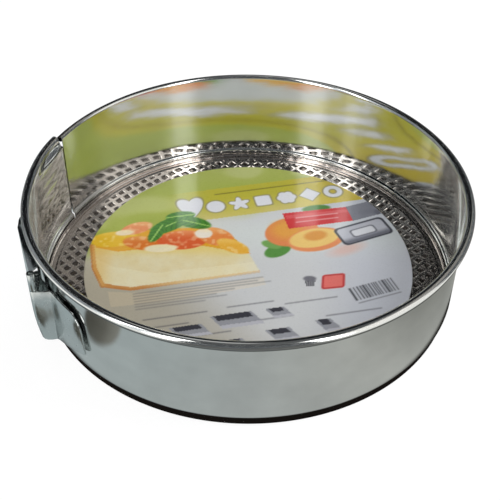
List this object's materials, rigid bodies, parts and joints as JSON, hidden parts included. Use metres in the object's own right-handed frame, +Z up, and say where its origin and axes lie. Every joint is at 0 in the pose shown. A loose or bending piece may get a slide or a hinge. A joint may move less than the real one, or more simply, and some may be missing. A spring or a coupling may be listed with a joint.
{
  "type": "springform pan",
  "caption": "Round springform baking pan: tinplate ring with a rolled rim and a lever clasp, a loose embossed floor and a loose paper card.",
  "frame": {"origin": "on the pan's axis, at the middle of the floor's underside, in the plane the pan stands on", "axes": "+Z up along the pan's axis; the clasp is on the -X side, at azimuth 205 degrees from +X towards +Y"},
  "size_m": [0.2712, 0.2709, 0.068],
  "materials": {
    "tinplate_bright": "bright rolled tinplate, mirror-like with fine rolling lines",
    "clasp_steel": "plain bright steel, lightly brushed",
    "floor_tin": "embossed tinplate, slightly brown-grey",
    "card_print": "semi-gloss printed card"
  },
  "bodies": {
    "ring_front": {"band_front": "tinplate_bright", "lever_bracket": "clasp_steel", "lever_pin": "clasp_steel", "bracket_rivet_1": "clasp_steel", "bracket_rivet_2": "clasp_steel", "bracket_rivet_3": "clasp_steel"},
    "ring_rear": {"band_rear": "tinplate_bright", "catch_plate": "clasp_steel", "catch_rivet_1": "clasp_steel", "catch_rivet_2": "clasp_steel", "catch_rivet_3": "clasp_steel"},
    "lever": {"clasp_lever": "clasp_steel", "link_pin": "clasp_steel"},
    "link": {"draw_link": "clasp_steel"},
    "floor": {"base_plate": "floor_tin"},
    "card": {"paper_card": "card_print"}
  },
  "joints": [
    {"name": "band_opening", "type": "hinge", "parent": "ring_front", "child": "ring_rear", "pos_m": [0.11618, 0.0726, 0.03], "axis": [0, 0, -1], "range_deg": [0, 5.5]},
    {"name": "lever_swing", "type": "hinge", "parent": "ring_front", "child": "lever", "pos_m": [-0.12108, -0.05646, 0.03], "axis": [0, 0, -1], "range_deg": [0, 110.1]},
    {"name": "link_swing", "type": "hinge", "parent": "lever", "child": "link", "pos_m": [-0.11898, -0.07435, 0.03], "axis": [0, 0, 1], "range_deg": [0, 97.6]},
    {"name": "floor_lift", "type": "slide", "parent": "ring_front", "child": "floor", "axis": [0, 0, 1], "range_m": [0, 0.09]},
    {"name": "card_lift", "type": "slide", "parent": "floor", "child": "card", "axis": [0, 0, 1], "range_m": [0, 0.08]}
  ],
  "couplings": [
    {"joint": "lever_swing", "follows": "band_opening", "ratio": 20},
    {"joint": "link_swing", "follows": "band_opening", "ratio": 17.727}
  ]
}
